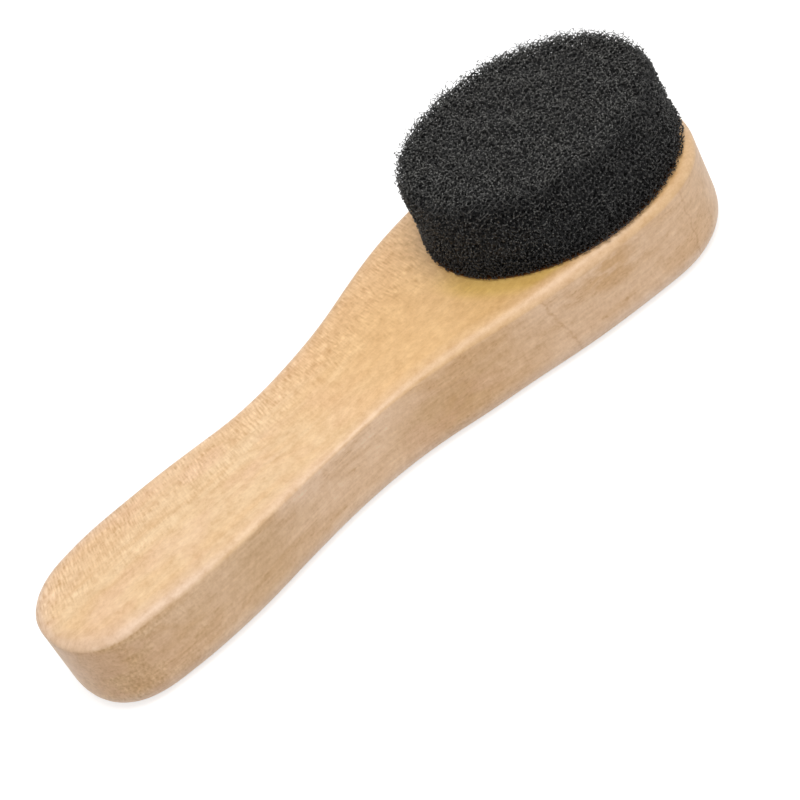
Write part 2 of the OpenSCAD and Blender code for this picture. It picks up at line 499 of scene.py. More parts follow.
# The knife leaves some corners a little proud or low, in mm, and more so along the rim. Above
# the foot this comes in over the last of these heights.
RAGGED = 0.15
RIM_RAGGED = 0.55
RAGGED_FROM_FOOT = 2.0
# It tears away this share of the struts at the rim, and fewer out to a distance from it in mm.
RIM_TEAR_REACH = 2.0
RIM_TEAR_SHARE = 0.26
# Share of the loose ends along the rim that the knife takes away, each time it passes.
LOOSE_LOST = 0.85
KNIFE_PASSES = 2
# Pieces of strut shorter than this fall away, and struts deeper than this in the core are left out.
SHORTEST_PIECE = 0.04
DEEPEST_IN_CORE = 0.15
# A corner this close to the core, in mm, holds on to it. The others have to be joined to such a
# corner within a number of steps along the struts.
HOLDS_TO_CORE = 0.3
JOIN_STEPS = 12
# Most corners are dull and a few shine, as the raised power makes it. A cut end shines at least
# a little.
SHINE_POWER = 4.0
LEAST_CUT_SHINE = 0.2


def joined_to_core(points, pairs, kept):
    """Whether each strut hangs on to the deeper cells, so that no crumb floats above the pad."""
    joined = core_distance(points) < HOLDS_TO_CORE
    first, second = pairs[kept].T
    for _ in range(JOIN_STEPS):
        joined |= np.bincount(first, joined[second], len(points)) > 0
        joined |= np.bincount(second, joined[first], len(points)) > 0
    return joined[pairs[:, 0]] & joined[pairs[:, 1]]


def knife_limits(points, pairs, skin):
    """Where each strut begins and ends after the cut, as shares of its length. The part outside
    the pad, or below its foot, is cut off where that distance, even along the strut, is zero."""
    foot = pad_foot + STRUT_RADIUS - points[:, 2]
    first, last = np.zeros(len(pairs)), np.ones(len(pairs))
    for distance in (skin, foot):
        a, b = distance[pairs[:, 0]], distance[pairs[:, 1]]
        crossing = a / (a - b + TINIEST)
        first = np.where(a > 0, np.maximum(first, crossing), first)
        last = np.where(b > 0, np.minimum(last, crossing), last)
        last = np.where((a > 0) & (b > 0), -1, last)
    return first, last


def cut_struts(points, pairs):
    """Ends of each strut that the knife leaves, and how much each end shines."""
    rng = np.random.default_rng(SEED + 4)
    above_foot = smoothstep(0, RAGGED_FROM_FOOT, points[:, 2] - pad_foot)
    at_rim = 1 - smoothstep(0, RIM_TEAR_REACH, rim_distance(points))
    uneven = (RAGGED + (RIM_RAGGED - RAGGED) * at_rim) * above_foot
    skin = pad_distance(points) + rng.normal(size=len(points)) * uneven
    first, last = knife_limits(points, pairs, skin)
    start, end = points[pairs[:, 0]], points[pairs[:, 1]]
    kept = (last - first) * np.linalg.norm(end - start, axis=1) > SHORTEST_PIECE
    from_rim = rim_distance((start + end) / 2)
    tear_share = RIM_TEAR_SHARE * (1 - smoothstep(0, RIM_TEAR_REACH, from_rim))
    kept &= rng.uniform(size=len(pairs)) >= tear_share
    kept &= np.maximum(core_distance(start), core_distance(end)) > -DEEPEST_IN_CORE
    for _ in range(KNIFE_PASSES):
        meeting = np.bincount(pairs[kept].ravel(), minlength=len(points))[pairs].min(axis=1)
        loose = (meeting < 2) & (from_rim < RIM_TEAR_REACH)
        kept &= ~(loose & (rng.uniform(size=len(pairs)) < LOOSE_LOST))
    kept &= joined_to_core(points, pairs, kept)
    shine = rng.uniform(size=len(points)) ** SHINE_POWER
    cut_shine = rng.uniform(LEAST_CUT_SHINE, 1, size=len(pairs))
    shine_start = np.where(first > 0, cut_shine, shine[pairs[:, 0]])[kept]
    shine_end = np.where(last < 1, cut_shine, shine[pairs[:, 1]])[kept]
    start, run = start[kept], (end - start)[kept]
    return start + run * first[kept, None], start + run * last[kept, None], shine_start, shine_end


strut_start, strut_end, shine_start, shine_end = cut_struts(network_points, network_pairs)
print("foam after the knife:", len(strut_start), "struts")

# %% Struts with thick ends and a thin waist
# A strut's thickness at its waist and at its knots, as shares of its own, which varies by chance.
WAIST_SHARE = 0.78
KNOT_SHARE = 1.25
THICKNESS_FROM, THICKNESS_TO = 0.75, 1.25
CORNERS = 3
RINGS = 3
# A strut whose direction has a larger upright part than this is squared up against X, not Z.
NEARLY_UPRIGHT = 0.8
# Along the rim the struts are this share as thick, out to a distance from it in mm.
RIM_STRUT_SHARE = 0.38
RIM_THIN_REACH = 3.0


def strut_prisms(start, end, radius):
    """Points and faces of one closed three-sided prism along each strut, thinner in the middle.
    The corners of its three rings lie on circles across the strut, a third of a turn apart. A
    prism's points are numbered ring by ring, and its faces are one pattern of those numbers."""
    rng = np.random.default_rng(SEED + 1)
    count = len(start)
    along = end - start
    along /= np.linalg.norm(along, axis=1, keepdims=True)
    helper = np.where(np.abs(along[:, 2:]) < NEARLY_UPRIGHT, [[0, 0, 1.0]], [[1.0, 0, 0]])
    side = np.cross(along, helper)
    side /= np.linalg.norm(side, axis=1, keepdims=True)
    other = np.cross(along, side)
    spin = rng.uniform(0, 2 * np.pi, count)[:, None] + np.arange(CORNERS) * 2 * np.pi / CORNERS
    thick = (radius * rng.uniform(THICKNESS_FROM, THICKNESS_TO, count))[:, None, None]
    across = thick * (np.cos(spin)[..., None] * side[:, None] + np.sin(spin)[..., None] * other[:, None])
    middle = (start + end) / 2
    rings = [start[:, None] + across * KNOT_SHARE, middle[:, None] + across * WAIST_SHARE,
             end[:, None] + across * KNOT_SHARE]
    points = np.concatenate(rings, axis=1).reshape(-1, 3)
    edges = [(k + i, k + (i + 1) % CORNERS) for k in (0, CORNERS) for i in range(CORNERS)]
    sides = [(i, j, CORNERS + j) for i, j in edges]
    sides += [(i, CORNERS + j, CORNERS + i) for i, j in edges]
    pattern = np.array(sides + [(0, 2, 1), (6, 7, 8)])
    base = (np.arange(count) * RINGS * CORNERS)[:, None, None]
    return points, (base + pattern).reshape(-1, 3)


inside_rim = smoothstep(0, RIM_THIN_REACH, rim_distance((strut_start + strut_end) / 2))
strut_radius = STRUT_RADIUS * (RIM_STRUT_SHARE + (1 - RIM_STRUT_SHARE) * inside_rim)
strut_points, strut_faces = strut_prisms(strut_start, strut_end, strut_radius)
print("strut radius, mm:", strut_radius.min().round(3), "to", strut_radius.max().round(3))

# %% Core of the pad
CORE_AROUND = 360
CORE_ROWS = 110
CORE_ROUGHNESS = 0.16


def core_skin():
    """The closed core below the outer cells. Parameter u is the angle round the pad, and v runs
    from the foot up the side, round the rim and in to the middle of the top."""
    angle = np.linspace(0, 2 * np.pi, CORE_AROUND, endpoint=False)
    v = np.linspace(0, 1, CORE_ROWS)
    height = pad_top - CORE_TOP_IN - pad_foot
    reach = pad_half.mean() - CORE_SIDE_IN
    side_run, rim_run, top_run = height - CORE_RIM, CORE_RIM * np.pi / 2, reach - CORE_RIM
    run = v * (side_run + rim_run + top_run)
    turn = np.clip((run - side_run) / CORE_RIM, 0, np.pi / 2)
    z = pad_foot + np.minimum(run, side_run) + CORE_RIM * np.sin(turn)
    inset = CORE_RIM * (1 - np.cos(turn)) + np.maximum(run - side_run - rim_run, 0)
    shrink = (1 - inset / reach)[:, None]
    lean = SIDE_LEAN * ((z - pad_foot) / (pad_top - pad_foot))[:, None]
    x = pad_centre[0] + np.cos(angle) * (pad_half[0] - CORE_SIDE_IN - lean) * shrink
    y = pad_centre[1] + np.sin(angle) * (pad_half[1] - CORE_SIDE_IN - lean) * shrink
    return np.stack([x, y, np.broadcast_to(z[:, None], x.shape)], axis=-1)


core_rows = core_skin()
rng = np.random.default_rng(SEED + 2)
core_rows[1:-1] += rng.normal(scale=CORE_ROUGHNESS, size=core_rows[1:-1].shape)
foot_ring = core_rows[:1] * [0, 0, 1] + [*pad_centre, 0]
core_rows = np.concatenate([np.broadcast_to(foot_ring, core_rows[:1].shape), core_rows])
core_points = core_rows.reshape(-1, 3)
core_faces = grid_faces(len(core_rows), CORE_AROUND)
core_triangles = np.concatenate([core_faces[:, [0, 1, 2]], core_faces[:, [0, 2, 3]]])
print("core:", len(core_triangles), "triangles")

# %% Mesh of the pad
# Light comes through the rim, so that it looks paler out to this distance, and the painted shade
# of its depth is weaker.
RIM_LIT_REACH = 2.2
RIM_DEPTH_LOST = 0.7
# Depth in mm below the cut faces at which the painted shade in the foam is darkest.
DARKEST_DEPTH = 1.6
# The side's colour takes over between these differences, in mm, of depth below the top and side.
SIDE_BEGINS, SIDE_FULL = -1.5, 2.5
# A strut's waist shines by this share of its two ends together.
WAIST_SHINE = 0.15
pad_points = np.vstack([strut_points, core_points])
pad_faces = np.vstack([strut_faces, core_triangles + len(strut_points)])
foam_pad = mesh_object("foam_pad", pad_points, pad_faces)
rim_share = 1 - smoothstep(0, RIM_LIT_REACH, rim_distance(pad_points))
depth_share = np.clip(-pad_distance(pad_points) / DARKEST_DEPTH, 0, 1)
below_side, below_top = depths(pad_points)
add_attribute(foam_pad, "depth", depth_share * (1 - RIM_DEPTH_LOST * rim_share))
add_attribute(foam_pad, "side", smoothstep(SIDE_BEGINS, SIDE_FULL, below_top - below_side))
add_attribute(foam_pad, "rim", rim_share)
waist_shine = (shine_start + shine_end) * WAIST_SHINE
strut_shine = np.stack([shine_start, waist_shine, shine_end], axis=1)
strut_shine = np.repeat(strut_shine, CORNERS, axis=1).ravel()
add_attribute(foam_pad, "shine", np.concatenate([strut_shine, np.zeros(len(core_points))]))
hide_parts("sponge")
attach(foam_pad, "root")
print("foam pad:", len(foam_pad.data.polygons), "triangles")

# %% [markdown]
# ## Helpers for materials
#
# A material is a small graph of nodes: fields such as noise, sums that combine them, and a shader
# at the end. Wiring each sum by hand would hide the formula, so a node's output is wrapped in a
# value that adds and multiplies like a number, and each sum makes its own Math node. What two
# materials share is a node group, made once.


# %% Node helpers
def srgb(red, green, blue):
    """A colour as a shader wants it, from the 0 to 255 numbers of a picture."""
    c = np.array([red, green, blue]) / 255
    linear = np.where(c <= 0.04045, c / 12.92, ((c + 0.055) / 1.055) ** 2.4)
    return (*linear, 1.0)


def new_material(name):
    material = bpy.data.materials.new(name)
    material.use_nodes = True
    material.node_tree.nodes.clear()
    return material, material.node_tree


def add_node(tree, kind, inputs=None, **settings):
    """A node with its settings, and with a number or a link for each named or numbered input."""
    node = tree.nodes.new(kind)
    for key, setting in settings.items():
        setattr(node, key, setting)
    for key, value in (inputs or {}).items():
        if isinstance(value, Value):
            value = value.socket
        if isinstance(value, bpy.types.NodeSocket):
            tree.links.new(value, node.inputs[key])
        else:
            node.inputs[key].default_value = value
    return node


def finish_material(tree, **sockets):
    shader = add_node(tree, "ShaderNodeBsdfPrincipled", sockets)
    add_node(tree, "ShaderNodeOutputMaterial", {"Surface": shader.outputs[0]})


# %% Values that add and multiply
class Value:
    """A node's output that is summed like a number. Each sum makes a Math node in the same tree."""

    def __init__(self, tree, socket):
        self.tree = tree
        self.socket = socket

    def maths(self, operation, a, b=0.0):
        return made(self.tree, 0, "ShaderNodeMath", {0: a, 1: b}, operation=operation)

    def __add__(self, other):
        return self.maths("ADD", self, other)

    def __sub__(self, other):
        return self.maths("SUBTRACT", self, other)

    def __rsub__(self, other):
        return self.maths("SUBTRACT", other, self)

    def __mul__(self, other):
        return self.maths("MULTIPLY", self, other)

    def __truediv__(self, other):
        return self.maths("DIVIDE", self, other)

    def __abs__(self):
        return self.maths("ABSOLUTE", self)

    __radd__ = __add__
    __rmul__ = __mul__


def made(tree, output, kind, inputs=None, **settings):
    """One output of a new node, by its name or number, as a value."""
    return Value(tree, add_node(tree, kind, inputs, **settings).outputs[output])


def larger(a, b):
    return a.maths("MAXIMUM", a, b)


def spread(value, low, high):
    """Stretches a value so that low becomes 0 and high becomes 1, held between them. Where low is
    the larger one, the value falls from 1 to 0 instead."""
    return made(value.tree, "Result", "ShaderNodeMapRange",
                {"Value": value, "From Min": low, "From Max": high}, interpolation_type="SMOOTHSTEP")


def near_to(value, middle, reach):
    """1 where a value is near a middle, fading to 0 at a reach to either side."""
    return spread(abs(value - middle), reach, 0.25 * reach)


def attribute(tree, name):
    return made(tree, "Fac", "ShaderNodeAttribute", attribute_name=name)


def object_mm(tree):
    """The point in the object's own space, in millimetres."""
    coordinates = made(tree, "Object", "ShaderNodeTexCoord")
    return made(tree, "Vector", "ShaderNodeMapping", {"Vector": coordinates, "Scale": (1 / MM,) * 3})


# %% Mixed colours
def mix_colours(factor, a, b):
    """Colour a turning into colour b. The Mix node has several sockets of one name, so they are
    reached by number: 0 is the factor, 6 and 7 are the colours, and 2 is the colour that comes out."""
    return made(factor.tree, 2, "ShaderNodeMix", {0: factor, 6: a, 7: b}, data_type="RGBA")


def blend(factor, first, second):
    """One colour turning into another, each given as the 0 to 255 numbers of a picture."""
    return mix_colours(factor, srgb(*first), srgb(*second))


def tinted(colour, mask, tint):
    """A colour turning into a tint, given as 0 to 255 numbers, by as much as a mask says."""
    return mix_colours(mask, colour, srgb(*tint))


# %% Shared group: stretched noise
def stretched_noise_group():
    """Noise whose lumps have a chosen size in mm along each axis, for grain, flecks and mottle."""
    group = bpy.data.node_groups.new("stretched_noise", "ShaderNodeTree")
    for name in ("Vector", "Size"):
        group.interface.new_socket(name, in_out="INPUT", socket_type="NodeSocketVector")
    for name in ("Detail", "Roughness", "Distortion"):
        group.interface.new_socket(name, in_out="INPUT", socket_type="NodeSocketFloat")
    group.interface.new_socket("Value", in_out="OUTPUT", socket_type="NodeSocketFloat")
    start = group.nodes.new("NodeGroupInput").outputs
    divided = made(group, 0, "ShaderNodeVectorMath", {0: start["Vector"], 1: start["Size"]},
                   operation="DIVIDE")
    field = made(group, "Fac", "ShaderNodeTexNoise", {
        "Vector": divided, "Scale": 1.0, "Detail": start["Detail"], "Roughness": start["Roughness"],
        "Distortion": start["Distortion"]})
    add_node(group, "NodeGroupOutput", {"Value": field})
    return group


stretched_noise = stretched_noise_group()


def noise(vector, size, detail=2.0, distortion=0.0, roughness=0.55):
    """The shared noise, placed with its own size in mm and its own settings."""
    inputs = {"Vector": vector, "Size": size, "Detail": detail, "Roughness": roughness,
              "Distortion": distortion}
    return made(vector.tree, "Value", "ShaderNodeGroup", inputs, node_tree=stretched_noise)


# %% [markdown]
# ## Beech
#
# Beech is pale and close-grained, with short ray flecks across the grain on one face and fine
# lines along it on the others. A picture of wood would have to be laid on face by face and would
# not meet at the edges. Here every pattern is a 3-D field in the wood's own directions: X runs
# along the grain, Y across the growth rings and Z down the wall. First come the fields, then
# broad colours by place, then a fine tone that makes each point paler or deeper.

# %% Fields of the wood
# Noises, with the size of their lumps in mm along, across and down.
FIELDS = {
    "bands": {"size": (17.0, 3.2, 8.0), "detail": 3.0, "distortion": 0.3},
    "clouds": {"size": (15.0, 9.0, 9.0)},
    "islands": {"size": (9.0, 4.0, 6.0)},
    "mottle": {"size": (6.5, 2.6, 2.2), "detail": 3.0},
    "grains": {"size": (2.4, 2.2, 1.8), "detail": 4.0, "roughness": 0.8},
    "end_grain": {"size": (0.55, 0.55, 0.80)},
    "fibres": {"size": (2.2, 0.26, 0.32)},
    "lines": {"size": (8.0, 0.34, 0.50), "detail": 1.0},
    "streaks": {"size": (16.0, 1.4, 0.45)}}
# Noises of which only the higher parts show: none below the first value, and all above the second.
MARKS = {
    "columns": (0.36, 0.60, {"size": (6.0, 0.80, 3.0), "detail": 1.0}),
    "smudges": (0.48, 0.64, {"size": (13.0, 6.0, 4.5), "distortion": 0.6}),
    "patches": (0.42, 0.58, {"size": (11.0, 8.0, 6.0)}),
    "dashes": (0.58, 0.70, {"size": (1.3, 0.45, 0.42), "detail": 1.0})}
FLECK_SIZE = (0.40, 2.1, 0.60)
# Ray flecks lean more at the grip's end than at the neck: how far X moves for each mm of Y.
LEAN_AT_GRIP, LEAN_AT_NECK = 0.40, 0.12
GRIP_X, NECK_X = -70.0, -15.0


def fanned(wood):
    """The point with X sheared by Y, more so at the grip, so that the ray flecks fan out there."""
    tree = wood.x.tree
    lean = made(tree, "Result", "ShaderNodeMapRange", {
        "Value": wood.x, "From Min": GRIP_X, "From Max": NECK_X,
        "To Min": LEAN_AT_GRIP, "To Max": LEAN_AT_NECK})
    return made(tree, 0, "ShaderNodeCombineXYZ", {0: wood.x - wood.y * lean, 1: wood.y, 2: wood.z})


def wood_fields(tree):
    """The point in mm with its parts x, y and z, the mesh's own shares, and each field by name."""
    wood = SimpleNamespace(point=object_mm(tree))
    parts = add_node(tree, "ShaderNodeSeparateXYZ", {0: wood.point}).outputs
    wood.x, wood.y, wood.z = (Value(tree, parts[axis]) for axis in "XYZ")
    for name in ("edge", "wall", "end", "far"):
        setattr(wood, name, attribute(tree, name))
    for name, settings in FIELDS.items():
        setattr(wood, name, noise(wood.point, **settings))
    for name, (low, high, settings) in MARKS.items():
        setattr(wood, name, spread(noise(wood.point, **settings), low, high))
    wood.flecks = noise(fanned(wood), FLECK_SIZE, detail=0.0)
    return wood


# %% Colour of the flat top
TOP_PALE, TOP_DEEP = (246, 209, 162), (240, 198, 147)
TOP_ROSY, TOP_HEAD, TOP_FAR = (242, 197, 158), (239, 190, 126), (234, 188, 146)
# The head's golden tone comes in along this stretch, and the clouds shift it by up to 10 mm.
HEAD_TONE = (-22.0, 14.0)
HEAD_TONE_SHIFT = 10.0


def top_colour(wood):
    """Pale and deep bands along the grain, rosy clouds, and a deeper gold towards the head."""
    colour = blend(spread(wood.bands, 0.32, 0.68), TOP_PALE, TOP_DEEP)
    colour = tinted(colour, spread(wood.clouds, 0.46, 0.66) * 0.5, TOP_ROSY)
    to_head = spread(wood.x + wood.clouds * HEAD_TONE_SHIFT, *HEAD_TONE)
    colour = tinted(colour, to_head * 0.9, TOP_HEAD)
    return tinted(colour, spread(wood.far, 0.1, 1.0) * 0.35, TOP_FAR)


# %% Colour of the wall
WALL_PALE, WALL_DEEP, WALL_PAINTED_LIGHT = (241, 201, 161), (226, 183, 138), (255, 217, 180)
WALL_TOP_HIGHLIGHT, WALL_DIM = (255, 219, 186), (212, 168, 112)
DARK_ROSY, DARK_OCHRE = (216, 168, 128), (203, 158, 100)
# The painted light, a paler tone where the wall catches more of the lamp, comes in along two stretches, in
# mm along the handle, and goes out along a third. It is weaker low down on the wall.
LIGHT_FIRST, LIGHT_SECOND, LIGHT_ENDS = (-58.0, -46.0), (-32.0, -20.0), (8.0, -13.0)
LIGHT_HEIGHTS = (7.0, 14.0)
# Other tones show round a place, as its middle and reach in mm along the handle, at some heights: a painted
# highlight along the top of the wall at the neck and head, a dim place, and darker places.
NECK_WALL_HIGHLIGHT, HEAD_WALL_HIGHLIGHT, WALL_HIGHLIGHT_HEIGHTS = (-19.0, 22.0), (30.0, 15.0), (9.0, 15.5)
DIM_PLACE = (-40.0, 9.0)
DARK_GRIP_END, DARK_NECK, DARK_NECK_HEIGHTS = (-78.0, 24.0), (3.0, 15.0), (15.5, 9.0)


def dark_places(wood):
    """1 round the grip's end, and part of it low on the wall beyond the neck."""
    low_neck = near_to(wood.x, *DARK_NECK) * spread(wood.z, *DARK_NECK_HEIGHTS)
    return larger(near_to(wood.x, *DARK_GRIP_END), low_neck * 0.70)


def wall_colour(wood):
    """Mottled wood of the sawn and sanded side, darker in places, with painted light towards the neck and a
    painted highlight along the top of the wall.
    """
    colour = blend(spread(wood.mottle, 0.34, 0.68), WALL_PALE, WALL_DEEP)
    # Painted light: the wall paler towards the neck, and weaker low down.
    light = spread(wood.x, *LIGHT_FIRST) * 0.28 + spread(wood.x, *LIGHT_SECOND) * 0.62
    light = light * spread(wood.x, *LIGHT_ENDS) * (0.75 + spread(wood.z, *LIGHT_HEIGHTS) * 0.35)
    colour = tinted(colour, light, WALL_PAINTED_LIGHT)
    # Painted highlight along the top of the wall, at the neck and, weaker, at the head.
    top_highlight = larger(near_to(wood.x, *NECK_WALL_HIGHLIGHT), near_to(wood.x, *HEAD_WALL_HIGHLIGHT) * 0.6)
    colour = tinted(colour, top_highlight * spread(wood.z, *WALL_HIGHLIGHT_HEIGHTS) * 0.85, WALL_TOP_HIGHLIGHT)
    colour = tinted(colour, near_to(wood.x, *DIM_PLACE) * 0.35, WALL_DIM)
    return mix_colours(wood.dark * 0.66, colour, blend(wood.patches, DARK_ROSY, DARK_OCHRE))


# %% Marks of sawing and sanding, and painted floor light at the foot
END_TONE, HEAD_ROSY, GOLD_PATCH = (222, 176, 126), (246, 209, 174), (216, 166, 104)
WALL_SMUDGE, ANY_SMUDGE, FLOOR_LIGHT_ON_FOOT = (206, 158, 100), (222, 170, 108), (252, 222, 196)
# The rosy stretch of the head's wall in mm along it, and a golden patch in it, by length and height.
ROSY_BEGINS, ROSY_ENDS = (14.0, 29.0), (68.0, 50.0)
GOLD_ALONG, GOLD_UP = (38.5, 8.0), (14.0, 6.5)
# Painted light: the white floor's reflection on the wall's foot, painted paler and pinker below these
# heights in mm.
FLOOR_LIGHT_HEIGHTS = (5.0, 1.5)


def marked(colour, wood):
    """The wood's colour with deeper ends, a rosy and a golden patch under the head, smudges, and
    painted light on the wall's foot: the white floor's reflection, painted paler and pinker."""
    colour = tinted(colour, wood.end * 0.35, END_TONE)
    rosy = spread(wood.x, *ROSY_BEGINS) * wood.wall * spread(wood.x, *ROSY_ENDS)
    colour = tinted(colour, rosy * 0.55, HEAD_ROSY)
    gold = near_to(wood.x, *GOLD_ALONG) * near_to(wood.z, *GOLD_UP) * wood.wall
    colour = tinted(colour, gold * spread(wood.mottle, 0.35, 0.55) * 0.65, GOLD_PATCH)
    colour = tinted(colour, wood.smudges * wood.wall * 0.20, WALL_SMUDGE)
    colour = tinted(colour, wood.smudges * 0.12, ANY_SMUDGE)
    # Painted reflection of the floor on the wall's foot.
    return tinted(colour, spread(wood.z, *FLOOR_LIGHT_HEIGHTS) * wood.wall * 0.45, FLOOR_LIGHT_ON_FOOT)


# %% Painted highlight of the upper edge, and the glue's stain
HIGHLIGHT_GRIP_END, HIGHLIGHT_LONG = (232, 196, 164), (231, 190, 144)
HIGHLIGHT_NECK, HIGHLIGHT_HEAD = (252, 216, 182), (240, 202, 166)
GLUE_STAIN = (229, 186, 100)
# The painted highlight on the rounding changes its tone in this stretch, and is paler at two places.
EDGE_CHANGES = (-54.0, -42.0)
EDGE_NECK_PLACE, EDGE_HEAD_PLACE = (-21.0, 26.0), (34.0, 17.0)
# The golden tone round the pad's foot reaches this much farther towards the grip. It fades between
# these radii in units of the foot's own, and shows on the grip's side and the nearer side only.
STAIN_BACK = 1.4
STAIN_RADII = (1.19, 1.03)
STAIN_ALONG, STAIN_ACROSS, STAIN_OFF_EDGE = (46.0, 38.0), (5.0, -7.0), (0.55, 0.10)


# Painted highlight: the lamp's reflection along the upper rounding, painted into its colour.
def edge_highlight_colour(wood):
    colour = blend(spread(wood.x, *EDGE_CHANGES), HIGHLIGHT_GRIP_END, HIGHLIGHT_LONG)
    colour = tinted(colour, near_to(wood.x, *EDGE_NECK_PLACE) * 0.6, HIGHLIGHT_NECK)
    return tinted(colour, near_to(wood.x, *EDGE_HEAD_PLACE) * 0.7, HIGHLIGHT_HEAD)


def stain_mask(wood):
    """1 on the wood that the glue has tinted: near the pad's oval foot, on the grip's side. The
    distance to an oval is read from the root of the sum of its squared shares."""
    along = (wood.x - (float(pad_centre[0]) - STAIN_BACK)) / float(pad_half[0])
    across = wood.y / float(pad_half[1])
    squares = along * along + across * across
    near_pad = spread(squares.maths("SQRT", squares), *STAIN_RADII)
    mask = near_pad * (1.0 - wood.wall) * spread(wood.x + wood.clouds * 6.0, *STAIN_ALONG)
    return mask * spread(wood.y, *STAIN_ACROSS) * spread(wood.edge, *STAIN_OFF_EDGE)


# %% Fine tone of the wood
# How much a tone of 1 changes red, green and blue.
TONE_BY_CHANNEL = (0.30, 0.42, 0.60)
# How much each fine pattern moves the tone.
GRAIN_TONE, FLECK_TONE, LINE_TONE, STREAK_TONE, DASH_TONE = 2.2, 2.0, 0.30, 0.80, 0.40
END_GRAIN_TONE = 0.75
# The grip's end shows more end grain, as a middle and a reach in mm along the handle.
END_GRAIN_PLACE = (-78.0, 30.0)
# A pinhole in the grip's end, by its place, rim and full depth in mm.
PINHOLE, PINHOLE_RADII = (-68.8, -12.4, 12.4), (0.45, 0.10)
# Two faint lines that cross the head's wall, each given as its place along the handle at the top
# edge and its lean: how far it moves for each mm down. Both wander, and show on the nearer side.
CROSS_LINES = ((25.2, 0.25), (57.5, -0.11))
CROSS_LINE_TOP, CROSS_LINE_WANDER = 14.0, 3.0
CROSS_LINE_WIDTHS, CROSS_LINE_SIDE, CROSS_LINE_TONE = (0.42, 0.06), (0.0, -4.0), 0.75


def centred(noise_value, amount):
    """An amount of how far a noise is from its mean, which is a half."""
    return (noise_value - 0.5) * amount


def toned(colour, tone):
    """Pales a colour where tone is positive and deepens it where tone is negative. Darker wood is
    also redder, so blue changes most and red least."""
    factor = made(tone.tree, 0, "ShaderNodeVectorMath", {0: tone, 1: TONE_BY_CHANNEL, 2: (1.0, 1.0, 1.0)},
                  operation="MULTIPLY_ADD")
    return made(tone.tree, 0, "ShaderNodeVectorMath", {0: colour, 1: factor}, operation="MULTIPLY")


def fleck_share(wood):
    """How much the ray flecks show: in islands that thicken towards the farther side, and in
    columns along the grain."""
    field = 0.06 + spread(wood.far + wood.islands, 0.15, 1.25) * 0.94
    return field * (0.3 + wood.columns * 0.7)


def cross_line(wood, top_x, lean):
    """1 on a thin line across the nearer wall that wanders a little."""
    line_x = top_x + (CROSS_LINE_TOP - wood.z) * lean
    from_line = wood.x - line_x + centred(wood.mottle, CROSS_LINE_WANDER)
    return spread(abs(from_line), *CROSS_LINE_WIDTHS) * wood.wall * spread(wood.y, *CROSS_LINE_SIDE)


def fine_tone(wood):
    """The sum of the fine patterns, each times its own amount and the share of it that shows."""
    on_top = 1.0 - wood.wall * 0.3
    end_amount = near_to(wood.x, *END_GRAIN_PLACE) * (0.2 + wood.patches * 2.0) + END_GRAIN_TONE
    tone = centred(wood.grains, GRAIN_TONE) * on_top
    tone = tone + centred(wood.end_grain, end_amount) * wood.wall
    tone = tone + centred(wood.flecks, FLECK_TONE) * fleck_share(wood)
    tone = tone + centred(wood.lines, LINE_TONE) * on_top
    tone = tone + centred(wood.streaks, STREAK_TONE) * wood.wall
    tone = tone - wood.dash_marks * DASH_TONE
    from_pinhole = made(tone.tree, "Value", "ShaderNodeVectorMath", {0: wood.point, 1: PINHOLE},
                        operation="DISTANCE")
    tone = tone - spread(from_pinhole, *PINHOLE_RADII)
    for top_x, lean in CROSS_LINES:
        tone = tone - cross_line(wood, top_x, lean) * wood.grains * CROSS_LINE_TONE
    return tone


# %% Beech put together
# How much the dashes, fibres and flecks lower or raise the surface, and the depth in mm of 1.
DASH_RELIEF, FIBRE_RELIEF, FLECK_RELIEF = -0.3, -0.25, 0.25
RELIEF_DEPTH = 0.05
LEAST_ROUGHNESS, MOST_ROUGHNESS = 0.42, 0.54


def beech_material():
    """Clear-coated beech: broad colours by place, then the fine tone, and a little relief."""
    material, tree = new_material("beech")
    wood = wood_fields(tree)
    wood.dark = dark_places(wood)
    wood.dash_marks = wood.dashes * (larger(wood.smudges, wood.dark) * wood.wall)
    colour = mix_colours(wood.wall * 0.82, top_colour(wood), wall_colour(wood))
    colour = marked(colour, wood)
    # The upper rounding takes the painted highlight.
    colour = mix_colours(wood.edge * 0.75, colour, edge_highlight_colour(wood))
    colour = tinted(colour, stain_mask(wood) * 0.85, GLUE_STAIN)
    colour = toned(colour, fine_tone(wood))

    relief = wood.dash_marks * DASH_RELIEF + wood.fibres * FIBRE_RELIEF + wood.flecks * FLECK_RELIEF
    bump = made(tree, "Normal", "ShaderNodeBump", {
        "Height": relief, "Strength": 0.30, "Distance": RELIEF_DEPTH * MM})
    roughness = made(tree, "Result", "ShaderNodeMapRange", {
        "Value": wood.clouds, "To Min": LEAST_ROUGHNESS, "To Max": MOST_ROUGHNESS})
    finish_material(tree, **{"Base Color": colour, "Roughness": roughness, "Normal": bump,
                             "Coat Weight": 0.4, "Coat Roughness": 0.38})
    return material


handle.data.materials.append(beech_material())
print("beech:", len(bpy.data.materials["beech"].node_tree.nodes), "nodes")

# %% [markdown]
# ## Black foam
#
# The foam's struts are dyed right through, dull along their length and with a small painted glint where
# they were cut or where they meet. The struts themselves are in the mesh, so the material only
# says how dark each point is. It reads that from the mesh's attributes: depth below the cut faces,
# for painted shade deep in the foam, side or top, for a side that is darker partly as painted shade,
# closeness to the rim, and the glint.

# %% Foam material
# The side's colour is darker than the top's, partly as the die-cut side looks denser and partly as painted
# shade. The knots' painted glints are dimmer on the side too.
FOAM_TOP, FOAM_TOP_DEEP, FOAM_SIDE = (56, 56, 55), (48, 47, 44), (18, 18, 19)
FOAM_RIM, FOAM_FOOT, FOAM_DEPTH_SHADE = (110, 110, 108), (19, 15, 15), (19, 19, 20)
KNOT_ON_TOP, KNOT_ON_SIDE = (140, 139, 135), (92, 92, 90)
